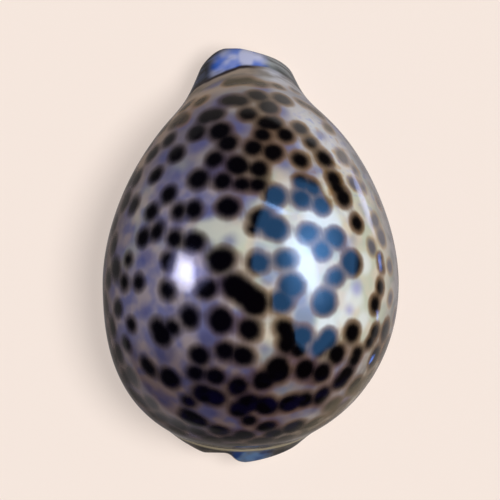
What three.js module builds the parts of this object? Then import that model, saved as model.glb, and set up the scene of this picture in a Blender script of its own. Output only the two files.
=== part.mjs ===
// An empty tiger cowrie shell, resting on its base with the back up.
//
// The shell is one piece: a thick wall curled round a hollow, open below along a
// narrow toothed aperture that runs out through a canal at each end. +Y points to
// the front (the narrow end), +X to the outer-lip side, and +Z up through the back.
// Millimetres. The origin lies under the middle of the shell, on the resting plane.

import * as THREE from "three";

// ---- The whole shell
const FRONT_Y = 40;
const REAR_Y = -40;

// ---- The domed body: an egg, widest behind the middle
const DOME = {
  y: -5.2, // where it is widest and highest
  z: 13.5, // height of the widest level
  halfWidth: 28.66,
  rise: 29.5, // from the widest level to the crest
  drop: 19, // from the widest level to its own bottom, which the base cuts off
  frontReach: 39.4,
  rearReach: 32,
  frontPower: 1.85, // below 2 is pointed, above 2 is blunt
  rearPower: 2.1,
};
// How far the dome leans towards the inner-lip side, coming in over a stretch from the middle of the shell.
const REAR_DRIFT = { x: -1.9, from: 6, to: 42 };
const FRONT_DRIFT = { x: -0.5, from: 20, to: 34 };

// ---- The thickened collars round the two canals, as ellipsoids
const FRONT_COLLAR = { centre: [-1, 26.5, 7.6], axes: [10.6, 17, 7.2], blend: 4.5 };
const REAR_COLLAR = { centre: [-1.8, -31, 7.4], axes: [13.2, 9.7, 6.3], blend: 3.2 };

// ---- The base
const BASE = {
  sink: 1.5, // the crown of the base would pass this far below the resting plane, but is worn flat
  crownX: 1.5, // where it is lowest
  acrossRise: 0.0045, // per mm squared, away from the crown
  alongRise: 0.0024, // per mm squared, beyond flatHalf
  flatHalf: 11,
  lipDip: 1.7, // how far the lips turn up at the aperture
  lipSpread: 4.6,
  marginBlend: 10,
};

// ---- The axis that the sections are drawn round: its height in the middle and at the ends
const AXIS = { middleZ: 15, endZ: 6.9, from: 20, to: 37.5 };

// ---- The aperture
const APERTURE = {
  midX: 1.9, // the aperture bows towards the outer lip here
  bowY: -8,
  frontX: -3.3, // where it leaves the front
  rearX: -6.4, // and the rear
  halfWidth: 2.6, // between the lips, at bowY
  frontHalfWidth: 3.6, // at its widest, near flareY
  flareY: 24,
  canalRadius: 2.3,
  frontCanalY: 37, // where it has narrowed to the canal
  rearFlareY: -18,
  rearCanalY: -36,
};

// ---- The lips
const LIP = {
  height: 7.3, // how far up they reach into the hollow
  riseFrom: 24, // from here outwards they rise to meet the canal
  riseTo: 35,
  outerEdge: 2.3, // from the aperture to where the outside starts
  innerEdge: 0.9, // and to where the hollow starts
  overFoot: [0.1, 1.3], // heights of the first two control points
  bulge: 0.55, // how far up the third one is
  underTop: 0.7, // and how far the last one stays below the top
  footOut: 1,
  topOut: 0.15,
};

// ---- The wall
const WALL = { crest: 1.8, side: 3, floor: 7, floorBlend: 5, canalBlend: 2 };
const COLUMELLA = { rise: 3.4, x: -9, spread: 5 }; // a low ridge along the floor, beside the aperture

// ---- The rounded rims at the two ends
const RIM = { depth: 3.6, share: 0.44, leftOpen: 0.07 };
// How far each rim stands back, from one place round the section to another.
const FRONT_FALLS = { outer: { by: 1.8, from: 0.1, to: 0.8 }, inner: { by: 0.9, from: 0.2, to: 0.8 } };
const REAR_STANDBACK = 1.9;
const REAR_FALLS = { lobe: { by: 1.9, from: 0.05, to: 0.6 }, outer: { by: 1.2, from: 0.65, to: 1 } };

// ---- The teeth along both lips
const TEETH = {
  pitch: 2.7,
  height: 1.05,
  sharpness: 1.5,
  sunk: 0.4, // the share of the height that lies below the lip
  edge: 0.6, // they fade from here out over the base
  onBaseOuter: 5.2,
  onBaseInner: 3.2,
  tall: 2.5, // and from here up into the aperture
  deep: 5.5,
  from: -33.5,
  to: 34.5,
  rearFade: 4,
  frontFade: 3,
};

// ---- How finely the surface is sampled
const RING = { outer: 40, lip: 4, inner: 16 }; // control points round one section
const STEP = { outer: 1.5, lip: 0.75, inner: 4 / 3 }; // control points from one sample to the next
const RIM_ROWS = { rear: 8, front: 5 };

const { PI, abs, atan2, cos, exp, hypot, max, min, sin, sqrt } = Math;
const { lerp, smoothstep } = THREE.MathUtils;

// Polynomial smooth minimum and maximum of two fields, blended over k mm.
const smoothMin = (a, b, k) => min(a, b) - (max(k - abs(a - b), 0) ** 2) / (4 * k);
const smoothMax = (a, b, k) => -smoothMin(-a, -b, k);

// ---- Lines that run the length of the shell

// The middle of the aperture, which is also the axis that the sections are drawn round.
function apertureX(y) {
  const { midX, bowY, frontX, rearX } = APERTURE;
  return y > bowY
    ? lerp(midX, frontX, ((y - bowY) / (FRONT_Y - bowY)) ** 2)
    : lerp(midX, rearX, ((bowY - y) / (bowY - REAR_Y)) ** 2.4);
}

function apertureHalfWidth(y) {
  const { halfWidth, frontHalfWidth, flareY, frontCanalY, rearFlareY, rearCanalY, bowY } = APERTURE;
  const body = lerp(halfWidth, frontHalfWidth, smoothstep(y, bowY, flareY));
  const toCanal = max(smoothstep(y, flareY, frontCanalY), smoothstep(-y, -rearFlareY, -rearCanalY));
  return lerp(body, APERTURE.canalRadius, toCanal);
}

const axisZ = (y) => lerp(AXIS.middleZ, AXIS.endZ, smoothstep(abs(y), AXIS.from, AXIS.to));

const lipTopZ = (y) => lerp(LIP.height, axisZ(y), smoothstep(abs(y), LIP.riseFrom, LIP.riseTo));

const driftAt = (distance, { x, from, to }) => x * smoothstep(distance, from, to);
const domeX = (y) => driftAt(-y, REAR_DRIFT) + driftAt(y, FRONT_DRIFT);

// ---- Solid fields: below zero inside, and close to millimetres near the surface

function dome(x, y, z) {
  const { frontReach, rearReach, halfWidth } = DOME;
  const forward = y - DOME.y;
  const both = frontReach + rearReach;
  const reach = (2 * frontReach * rearReach + (frontReach - rearReach) * forward) / both;
  const power = forward < 0 ? DOME.rearPower : DOME.frontPower;
  const up = z - DOME.z;
  const across = hypot((x - domeX(y)) / halfWidth, up / (up > 0 ? DOME.rise : DOME.drop));
  const radius = (across ** power + abs(forward / reach) ** power) ** (1 / power);
  return (radius - 1) * halfWidth;
}

function ellipsoid({ centre, axes }, x, y, z) {
  const radius = hypot((x - centre[0]) / axes[0], (y - centre[1]) / axes[1], (z - centre[2]) / axes[2]);
  return (radius - 1) * min(...axes);
}

function baseZ(x, y) {
  const across = BASE.acrossRise * (x - BASE.crownX) ** 2;
  const along = BASE.alongRise * max(abs(y) - BASE.flatHalf, 0) ** 2;
  const dip = BASE.lipDip * exp(-(((x - apertureX(y)) / BASE.lipSpread) ** 2));
  return -BASE.sink + across + along + dip;
}

function outside(x, y, z) {
  const body = smoothMax(dome(x, y, z), baseZ(x, y) - z, BASE.marginBlend);
  const front = smoothMin(body, ellipsoid(FRONT_COLLAR, x, y, z), FRONT_COLLAR.blend);
  return smoothMin(front, ellipsoid(REAR_COLLAR, x, y, z), REAR_COLLAR.blend);
}

// The hollow: the dome shrunk by the wall, over a floor, joined to the canal.
function hollow(x, y, z) {
  const sideways = x - apertureX(y);
  const steep = abs(sideways) / (hypot(sideways, z - axisZ(y)) + 1e-9);
  const chamber = dome(x, y, z) + lerp(WALL.crest, WALL.side, steep ** 2);
  const columella = COLUMELLA.rise * exp(-(((sideways - COLUMELLA.x) / COLUMELLA.spread) ** 2));
  const roomy = smoothMax(chamber, WALL.floor + columella - z, WALL.floorBlend);
  const canal = hypot(sideways, z - axisZ(y)) - APERTURE.canalRadius;
  return smoothMin(roomy, canal, WALL.canalBlend);
}

// The distance from the axis to where a field crosses zero, along the angle theta from +Z towards +X.
function reachOf(field, theta, y) {
  const [x0, z0] = [apertureX(y), axisZ(y)];
  let [low, high] = [0, 60];
  for (let i = 0; i < 34; i++) {
    const r = (low + high) / 2;
    if (field(x0 + r * sin(theta), y, z0 + r * cos(theta)) < 0) low = r;
    else high = r;
  }
  return low;
}

// ---- One section: a closed ring of control points round the curled wall.
// u runs along the wall from the inner lip (-1) over the back (0) to the outer lip (+1).

const fallAt = (u, { by, from, to }) => by * smoothstep(u, from, to);
const frontRimY = (u) => FRONT_Y - fallAt(u, FRONT_FALLS.outer) - fallAt(-u, FRONT_FALLS.inner);
const rearRimY = (u) =>
  REAR_Y + REAR_STANDBACK - fallAt(u, REAR_FALLS.lobe) + fallAt(u, REAR_FALLS.outer);
const stationY = (u, v) => lerp(rearRimY(u), frontRimY(u), v);

function wallPoint(field, u, y, edge, drop) {
  const theta = u * (PI - atan2(edge, drop));
  const r = reachOf(field, theta, y);
  return new THREE.Vector3(apertureX(y) + r * sin(theta), y, axisZ(y) + r * cos(theta));
}

function outerPoint(u, y) {
  const edge = apertureHalfWidth(y) + LIP.outerEdge;
  return wallPoint(outside, u, y, edge, axisZ(y) - baseZ(apertureX(y) + edge, y));
}

function innerPoint(u, y) {
  return wallPoint(hollow, u, y, apertureHalfWidth(y) + LIP.innerEdge, axisZ(y) - lipTopZ(y));
}

// The control points of one lip, from the base up into the aperture.
function lipPoints(side, y) {
  const [middle, half, top] = [apertureX(y), apertureHalfWidth(y), lipTopZ(y)];
  const foot = baseZ(middle + side * half, y);
  const at = (out, z) => new THREE.Vector3(middle + side * (half + out), y, z);
  return [
    at(LIP.footOut, foot + LIP.overFoot[0]),
    at(0, foot + LIP.overFoot[1]),
    at(0, lerp(foot, top, LIP.bulge)),
    at(LIP.topOut, top - LIP.underTop),
  ];
}

// Draws a point towards the middle of the wall as it nears either rim, so that the wall ends in a round edge.
function roundTowardsRim(point, u, y) {
  const toRim = min(frontRimY(u) - y, y - rearRimY(u));
  if (toRim >= RIM.depth) return point;
  const open = max(sqrt(1 - (1 - max(toRim, 0) / RIM.depth) ** 2), RIM.leftOpen);
  const middle = innerPoint(u, y).lerp(outerPoint(u, y), RIM.share);
  return middle.lerp(point, open);
}

function controlRing(v) {
  const ring = [];
  const add = (point, u, y) => ring.push(roundTowardsRim(point, u, y));
  const lip = (side, order) => {
    const y = stationY(side, v);
    order(lipPoints(side, y)).forEach((point) => add(point, side, y));
  };
  for (let i = 0; i < RING.outer; i++) {
    const u = 1 - (2 * i) / (RING.outer - 1);
    add(outerPoint(u, stationY(u, v)), u, stationY(u, v));
  }
  lip(-1, (points) => points);
  for (let i = 0; i < RING.inner; i++) {
    const u = -1 + (2 * i) / (RING.inner - 1);
    add(innerPoint(u, stationY(u, v)), u, stationY(u, v));
  }
  lip(1, (points) => points.reverse());
  return ring;
}

// ---- From control rings to a surface

// A point on the closed uniform cubic B-spline through a ring, t counted in control points.
function onSpline(ring, t) {
  const i = Math.floor(t);
  const f = t - i;
  const weights = [
    (1 - f) ** 3,
    3 * f ** 3 - 6 * f ** 2 + 4,
    -3 * f ** 3 + 3 * f ** 2 + 3 * f + 1,
    f ** 3,
  ];
  const point = new THREE.Vector3();
  weights.forEach((w, k) => point.addScaledVector(ring[(i + k - 1 + ring.length) % ring.length], w / 6));
  return point;
}

// Where a ring changes from the outside to the inner lip, the hollow, the outer lip and back.
const INNER_LIP_AT = RING.outer - 1;
const HOLLOW_AT = RING.outer + RING.lip;
const OUTER_LIP_AT = HOLLOW_AT + RING.inner - 1;
const RING_END = HOLLOW_AT + RING.inner + RING.lip;

function steps(from, to, step) {
  return Array.from({ length: Math.ceil((to - from) / step) }, (_, i) => from + i * step);
}

// Where every row is sampled round the ring.
const PLACES = [
  ...steps(0, INNER_LIP_AT, STEP.outer),
  ...steps(INNER_LIP_AT, HOLLOW_AT, STEP.lip),
  ...steps(HOLLOW_AT, OUTER_LIP_AT, STEP.inner),
  ...steps(OUTER_LIP_AT, RING_END, STEP.lip),
];

// How far along the shell each row lies, from 0 to 1: half a tooth apart, closer where the rims turn.
function rowPlaces() {
  const half = TEETH.pitch / 2;
  const turn = (rows) => steps(0, rows, 1).map((i) => RIM.depth * (1 - cos((PI / 2) * (i / rows))));
  const middle = steps(half * Math.ceil((REAR_Y + RIM.depth) / half), FRONT_Y - RIM.depth, half);
  const rear = turn(RIM_ROWS.rear).map((d) => REAR_Y + d);
  const front = turn(RIM_ROWS.front).map((d) => FRONT_Y - d);
  return [...rear, ...middle, ...front.reverse()].map((y) => (y - REAR_Y) / (FRONT_Y - REAR_Y));
}

// How far the teeth stand out from the lip at a point of the row that lies at v.
function toothRelief(p, v) {
  const off = p.x - apertureX(p.y);
  const out = abs(off) - apertureHalfWidth(p.y);
  const onBase = off > 0 ? TEETH.onBaseOuter : TEETH.onBaseInner;
  const above = p.z - baseZ(apertureX(p.y), p.y);
  const across = (1 - smoothstep(out, TEETH.edge, onBase)) * (1 - smoothstep(above, TEETH.tall, TEETH.deep));
  const station = lerp(REAR_Y, FRONT_Y, v);
  const atRear = smoothstep(station, TEETH.from - TEETH.rearFade, TEETH.from);
  const atFront = 1 - smoothstep(station, TEETH.to, TEETH.to + TEETH.frontFade);
  const phase = (2 * PI * station) / TEETH.pitch + (off > 0 ? 0 : PI);
  const ridge = (0.5 + 0.5 * cos(phase)) ** TEETH.sharpness;
  return TEETH.height * (ridge - TEETH.sunk) * across * atRear * atFront;
}

// The grid of points with the teeth raised along its own normals, and the base worn flat where it rests.
function surfaceRows() {
  const along = rowPlaces();
  const plain = along.map((v) => {
    const ring = controlRing(v);
    return PLACES.map((t) => onSpline(ring, t));
  });
  const last = plain.length - 1;
  return plain.map((row, i) =>
    row.map((point, j) => {
      const forward = plain[min(i + 1, last)][j].clone().sub(plain[max(i - 1, 0)][j]);
      const round = row[(j + 1) % row.length].clone().sub(row[(j + row.length - 1) % row.length]);
      const normal = forward.cross(round).normalize();
      const moved = point.clone().addScaledVector(normal, toothRelief(point, along[i]));
      return moved.setZ(max(moved.z, 0));
    }),
  );
}

// Triangles between two chains of points that share their first and last point.
function zip(first, second, triangle) {
  let [i, j] = [0, 0];
  while (i < first.length - 1 || j < second.length - 1) {
    const stepFirst = (i + 1) / (first.length - 1) <= (j + 1) / (second.length - 1);
    if (stepFirst && i < first.length - 1) {
      if (first[i + 1] !== second[j]) triangle(first[i], first[i + 1], second[j]);
      i++;
    } else {
      if (second[j + 1] !== first[i]) triangle(first[i], second[j + 1], second[j]);
      j++;
    }
  }
}

function shellGeometry() {
  const rows = surfaceRows();
  const around = rows[0].length;
  const index = [];
  const triangle = (a, b, c) => index.push(a, b, c);
  for (let i = 0; i < rows.length - 1; i++) {
    for (let j = 0; j < around; j++) {
      const k = (j + 1) % around;
      const [a, b, c, d] = [i * around + j, i * around + k, (i + 1) * around + k, (i + 1) * around + j];
      triangle(a, c, b);
      triangle(a, d, c);
    }
  }
  // Each end ring is a flattened loop: its outer half closes against its inner half.
  const noseOf = (lipAt) => PLACES.findIndex((t) => t >= lipAt + (RING.lip + 1) / 2);
  const [inner, outer] = [noseOf(INNER_LIP_AT), noseOf(OUTER_LIP_AT)];
  const chains = (start) => [
    steps(outer - around, inner + 1, 1).map((j) => start + ((j + around) % around)),
    steps(inner, outer + 1, 1).map((j) => start + j).reverse(),
  ];
  const [rearOuter, rearInner] = chains(0);
  const [frontOuter, frontInner] = chains((rows.length - 1) * around);
  zip(rearOuter, rearInner, triangle);
  zip(frontOuter, frontInner, (a, b, c) => triangle(a, c, b));

  const geometry = new THREE.BufferGeometry().setFromPoints(rows.flat());
  geometry.setIndex(index);
  geometry.computeVertexNormals();
  return geometry;
}

const shell = new THREE.Mesh(
  shellGeometry(),
  new THREE.MeshStandardMaterial({ color: 0xb9b3ae, roughness: 0.12, metalness: 0 }),
);
shell.name = "shell";

const cowrie = new THREE.Group();
cowrie.add(shell);

export default cowrie;
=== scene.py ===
"""The looks of an empty tiger cowrie shell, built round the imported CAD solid.

The visible piece is the CAD shell's own surface sampled far more finely, so it has the same size and place.
Lengths in the geometry part are millimetres on the shell's own axes: +Y to the narrow front end, +X to the
outer-lip side, +Z up through the back, with the origin on the resting plane.
"""

import math

import bpy
import numpy as np
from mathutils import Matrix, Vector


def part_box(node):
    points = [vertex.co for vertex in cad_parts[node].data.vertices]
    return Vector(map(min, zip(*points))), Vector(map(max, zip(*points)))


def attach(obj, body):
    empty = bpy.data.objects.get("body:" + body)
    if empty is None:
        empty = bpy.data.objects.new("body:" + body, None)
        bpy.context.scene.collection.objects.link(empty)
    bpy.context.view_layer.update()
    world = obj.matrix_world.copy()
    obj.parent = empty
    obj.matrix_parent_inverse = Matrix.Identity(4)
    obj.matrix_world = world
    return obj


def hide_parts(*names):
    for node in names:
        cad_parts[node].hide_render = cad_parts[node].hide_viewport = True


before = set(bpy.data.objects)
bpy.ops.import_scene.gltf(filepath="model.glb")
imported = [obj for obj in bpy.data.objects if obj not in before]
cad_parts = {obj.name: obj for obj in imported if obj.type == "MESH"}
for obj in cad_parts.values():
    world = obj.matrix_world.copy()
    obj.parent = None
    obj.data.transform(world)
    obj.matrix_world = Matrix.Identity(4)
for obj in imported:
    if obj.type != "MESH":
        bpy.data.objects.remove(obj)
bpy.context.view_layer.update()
LOW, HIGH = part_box("shell")
LENGTH_MM = 80.0
M_PER_MM = (HIGH.y - LOW.y) / LENGTH_MM

# ---------------------------------------------------------------- the shell's form, as in the CAD
FRONT_Y = 40.0
REAR_Y = -40.0
DOME = dict(y=-5.2, z=13.5, half_width=28.66, rise=29.5, drop=19.0, front=39.4, rear=32.0)
DOME_POWER = dict(front=1.85, rear=2.1)
DOME_DRIFT = dict(rear=-1.9, front=-0.5)
COLLARS = [
    dict(centre=(-1.0, 26.5, 7.6), axes=(10.6, 17.0, 7.2), blend=4.5),
    dict(centre=(-1.8, -31.0, 7.4), axes=(13.2, 9.7, 6.3), blend=3.2),
]
BASE = dict(sink=1.5, crown=1.5, across=0.0045, along=0.0024, flat=11.0, dip=1.7, spread=4.6, blend=10.0)
APERTURE = dict(mid=1.9, bow_y=-8.0, front=-3.3, rear=-6.4, half=2.6, front_half=3.6, flare_y=24.0)
CANAL_RADIUS = 2.3
LIP_HEIGHT = 7.3
WALL = dict(crest=1.8, side=3.0, floor=7.0)
COLUMELLA = dict(height=3.4, side=-9, spread=5)
SKIN_EDGE = dict(outer=2.3, inner=0.9)  # mm beside the aperture to where each skin ends
RIM = dict(depth=3.6, share=0.44, open=0.07)
TEETH = dict(pitch=2.7, height=1.05, outer=5.2, inner=3.2, deep=5.5, rear=-33.5, front=34.5)
RING = dict(outer=40, lip=4, inner=16)  # control points round a section: back, each lip, hollow
CAP_STEP = 1.5  # control points past the start of each lip to where the end caps meet it
SAMPLE = dict(outer=0.22, lip=0.25, inner=0.6)  # ring steps from one vertex to the next
ROW = dict(step=0.25, rear=48, front=24)  # mm between rows, and the rows round each rim
SEARCH = dict(farthest=60.0, halvings=30)  # from the axis out to a skin, in mm


def smooth_min(a, b, k):
    return np.minimum(a, b) - np.maximum(k - np.abs(a - b), 0) ** 2 / (4 * k)


def smooth_max(a, b, k):
    return -smooth_min(-a, -b, k)


def smooth_step(x, a, b):
    t = np.clip((x - a) / (b - a), 0, 1)
    return t * t * (3 - 2 * t)


def lerp(a, b, t):
    return a + (b - a) * t


def aperture_x(y):
    """The middle of the aperture, which is also the axis that the sections are drawn round."""
    a = APERTURE
    ahead = np.clip((y - a["bow_y"]) / (FRONT_Y - a["bow_y"]), 0, None)
    behind = np.clip((a["bow_y"] - y) / (a["bow_y"] - REAR_Y), 0, None)
    front, rear = lerp(a["mid"], a["front"], ahead**2), lerp(a["mid"], a["rear"], behind**2.4)
    return np.where(y > a["bow_y"], front, rear)


def aperture_half(y):
    a = APERTURE
    body = lerp(a["half"], a["front_half"], smooth_step(y, a["bow_y"], a["flare_y"]))
    to_canal = np.maximum(smooth_step(y, a["flare_y"], 37), smooth_step(-y, 18, 36))
    return lerp(body, CANAL_RADIUS, to_canal)


def axis_z(y):
    return lerp(15, 6.9, smooth_step(np.abs(y), 20, 37.5))


def lip_top(y):
    return lerp(LIP_HEIGHT, axis_z(y), smooth_step(np.abs(y), 24, 35))


def dome(x, y, z):
    """Distance outside the domed body, roughly in mm."""
    d = DOME
    along = y - d["y"]
    reach = 2 * d["front"] * d["rear"] / (d["front"] + d["rear"])
    skew = (d["front"] - d["rear"]) / (d["front"] + d["rear"])
    drift = DOME_DRIFT["rear"] * smooth_step(-y, 6, 42) + DOME_DRIFT["front"] * smooth_step(y, 20, 34)
    up = z - d["z"]
    power = np.where(along < 0, DOME_POWER["rear"], DOME_POWER["front"])
    across = ((x - drift) / d["half_width"]) ** 2 + (up / np.where(up > 0, d["rise"], d["drop"])) ** 2
    r = (across ** (power / 2) + np.abs(along / (reach + skew * along)) ** power) ** (1 / power)
    return (r - 1) * d["half_width"]


def ellipsoid(centre, axes, x, y, z):
    parts = [((p - c) / a) ** 2 for p, c, a in zip((x, y, z), centre, axes)]
    return (np.sqrt(sum(parts)) - 1) * min(axes)


def base_z(x, y):
    b = BASE
    bowl = b["across"] * (x - b["crown"]) ** 2 + b["along"] * np.maximum(np.abs(y) - b["flat"], 0) ** 2
    lips = b["dip"] * np.exp(-(((x - aperture_x(y)) / b["spread"]) ** 2))
    return bowl + lips - b["sink"]


def outside(x, y, z):
    field = smooth_max(dome(x, y, z), base_z(x, y) - z, BASE["blend"])
    for c in COLLARS:
        field = smooth_min(field, ellipsoid(c["centre"], c["axes"], x, y, z), c["blend"])
    return field


def hollow(x, y, z):
    side = x - aperture_x(y)
    up = z - axis_z(y)
    sideways = side**2 / (side**2 + up**2 + 1e-9)
    chamber = dome(x, y, z) + lerp(WALL["crest"], WALL["side"], sideways)
    columella = COLUMELLA["height"] * np.exp(-(((side - COLUMELLA["side"]) / COLUMELLA["spread"]) ** 2))
    roomy = smooth_max(chamber, WALL["floor"] + columella - z, 5)
    return smooth_min(roomy, np.hypot(side, up) - CANAL_RADIUS, 2)


def reach_of(field, angle, y):
    """How far the field's surface is from the axis, at an angle from straight up."""
    near, far = np.zeros_like(angle), np.full_like(angle, SEARCH["farthest"])
    for _ in range(SEARCH["halvings"]):
        r = (near + far) / 2
        inside = field(aperture_x(y) + r * np.sin(angle), y, axis_z(y) + r * np.cos(angle)) < 0
        near, far = np.where(inside, r, near), np.where(inside, far, r)
    return near


def front_rim(u):
    return FRONT_Y - 1.8 * smooth_step(u, 0.1, 0.8) - 0.9 * smooth_step(-u, 0.2, 0.8)


def rear_rim(u):
    return -38.1 - 1.9 * smooth_step(u, 0.05, 0.6) + 1.2 * smooth_step(u, 0.65, 1)


def station_y(u, v):
    return lerp(rear_rim(u), front_rim(u), v)


def wall(field, u, y, edge, drop):
    """A point on one skin: u runs -1..1 from one lip over the top to the other."""
    angle = u * (np.pi - np.arctan2(edge, drop))
    r = reach_of(field, angle, y)
    return np.stack([aperture_x(y) + r * np.sin(angle), y, axis_z(y) + r * np.cos(angle)], -1)


def outer_point(u, y):
    edge = aperture_half(y) + SKIN_EDGE["outer"]
    return wall(outside, u, y, edge, axis_z(y) - base_z(aperture_x(y) + edge, y))


def inner_point(u, y):
    return wall(hollow, u, y, aperture_half(y) + SKIN_EDGE["inner"], axis_z(y) - lip_top(y))


def lip_points(side, y):
    """The lip's own control points, from the base up into the hollow."""
    middle, half, top = aperture_x(y), aperture_half(y), lip_top(y)
    foot = base_z(middle + side * half, y)
    profile = [(1.0, foot + 0.1), (0.0, foot + 1.3), (0.0, lerp(foot, top, 0.55)), (0.15, top - 0.7)]
    return [np.stack([middle + side * (half + out), y, z], -1) for out, z in profile]


def rounded(points, u, y):
    """Draws a section in towards the middle of the wall near the two ends."""
    to_rim = np.clip(np.minimum(front_rim(u) - y, y - rear_rim(u)) / RIM["depth"], 0, 1)
    openness = np.maximum(np.sqrt(1 - (1 - to_rim) ** 2), RIM["open"])[..., None]
    middle = lerp(inner_point(u, y), outer_point(u, y), RIM["share"])
    return lerp(middle, points, openness)


def control_rings(v):
    """Control points of the sections at the stations v, as (stations, ring, 3)."""

    def skin(u, point):
        across, along = np.broadcast_arrays(u[None], v[:, None])
        y = station_y(across, along)
        return rounded(point(across, y), across, y)

    def lip(side):
        u = np.full(len(v), float(side))
        y = station_y(u, v)
        return np.stack([rounded(p, u, y) for p in lip_points(side, y)], 1)

    over = skin(np.linspace(1, -1, RING["outer"]), outer_point)
    under = skin(np.linspace(-1, 1, RING["inner"]), inner_point)
    return np.concatenate([over, lip(-1), under, lip(1)[:, ::-1]], 1)


def spline_basis(count, t):
    """Weights of a closed uniform cubic B-spline with that many control points."""
    first = np.floor(t).astype(int)
    f = t - first
    weights = np.stack([(1 - f) ** 3, 3 * f**3 - 6 * f**2 + 4, -3 * f**3 + 3 * f**2 + 3 * f + 1, f**3], 1) / 6
    basis = np.zeros((len(t), count))
    for k in range(4):
        basis[np.arange(len(t)), (first + k - 1) % count] += weights[:, k]
    return basis


def tooth_height(p, v):
    x, y, z = p[..., 0], p[..., 1], p[..., 2]
    off = x - aperture_x(y)
    out = np.abs(off) - aperture_half(y)
    on_base = np.where(off > 0, TEETH["outer"], TEETH["inner"])
    up = z - base_z(aperture_x(y), y)
    across = (1 - smooth_step(out, 0.6, on_base)) * (1 - smooth_step(up, 2.5, TEETH["deep"]))
    station = lerp(REAR_Y, FRONT_Y, v)[:, None]
    from_rear = smooth_step(station, TEETH["rear"] - 4, TEETH["rear"])
    along = from_rear * (1 - smooth_step(station, TEETH["front"], TEETH["front"] + 3))
    phase = 2 * np.pi * station / TEETH["pitch"] + np.where(off > 0, 0, np.pi)
    return TEETH["height"] * ((0.5 + 0.5 * np.cos(phase)) ** 1.5 - 0.4) * across * along


def ring_places():
    """Places round a section, in control-point steps, and the two where the end caps start and stop."""
    inner_lip = RING["outer"] - 1
    chamber = RING["outer"] + RING["lip"]
    outer_lip = chamber + RING["inner"] - 1
    whole = RING["outer"] + RING["inner"] + 2 * RING["lip"]
    spans = [
        np.arange(0, inner_lip, SAMPLE["outer"]),
        np.arange(inner_lip, chamber, SAMPLE["lip"]),
        np.arange(chamber, outer_lip, SAMPLE["inner"]),
        np.arange(outer_lip, whole, SAMPLE["lip"]),
    ]
    t = np.concatenate(spans)
    start, stop = (int(np.argmax(t >= lip + CAP_STEP)) for lip in (RING["outer"], chamber + RING["inner"]))
    return t, start, stop


def row_places():
    """Stations from the rear rim to the front one, closer together round the rims."""
    length, depth = FRONT_Y - REAR_Y, RIM["depth"]
    rear = depth * (1 - np.cos(np.pi / 2 * np.arange(ROW["rear"]) / ROW["rear"]))
    front = depth * (1 - np.cos(np.pi / 2 * np.arange(ROW["front"]) / ROW["front"]))
    middle = np.arange(depth, length - depth, ROW["step"])
    return np.concatenate([rear, middle, length - front[::-1]]) / length


def shell_surface(v, t):
    """Vertices and unit normals of the whole skin, as (rows, ring, 3), in mm."""
    rings = control_rings(v)
    skin = np.einsum("sc,ncd->nsd", spline_basis(rings.shape[1], t), rings)
    along = np.gradient(skin, axis=0)
    around = np.roll(skin, -1, 1) - np.roll(skin, 1, 1)
    normal = np.cross(along, around)
    normal /= np.linalg.norm(normal, axis=-1, keepdims=True) + 1e-12
    skin = skin + normal * tooth_height(skin, v)[..., None]
    skin[..., 2] = np.maximum(skin[..., 2], 0)
    return skin, normal


def zip_chains(skin, row, first, second, flip):
    """Triangles between the outer and the inner chain of one rim."""
    faces, i, j = [], 0, 0
    a, b = skin[row, first], skin[row, second]
    while i < len(first) - 1 or j < len(second) - 1:
        step_first = j == len(second) - 1
        if i < len(first) - 1 and j < len(second) - 1:
            step_first = np.linalg.norm(a[i + 1] - b[j]) < np.linalg.norm(a[i] - b[j + 1])
        if step_first:
            corner, i = (first[i], first[i + 1], second[j]), i + 1
        else:
            corner, j = (first[i], second[j + 1], second[j]), j + 1
        faces.append(corner[::-1] if flip else corner)
    return [[row * skin.shape[1] + c for c in f] for f in faces]


def shell_faces(skin, start, stop):
    rows, ring = skin.shape[:2]
    i, j = np.meshgrid(np.arange(rows - 1), np.arange(ring), indexing="ij")
    k = (j + 1) % ring
    quads = np.stack([i * ring + j, (i + 1) * ring + j, (i + 1) * ring + k, i * ring + k], -1)
    outer = [c % ring for c in range(stop, start + ring + 1)]
    inner = list(range(stop, start - 1, -1))
    caps = zip_chains(skin, 0, outer, inner, False) + zip_chains(skin, rows - 1, outer, inner, True)
    return quads.reshape(-1, 4).tolist() + caps


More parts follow.
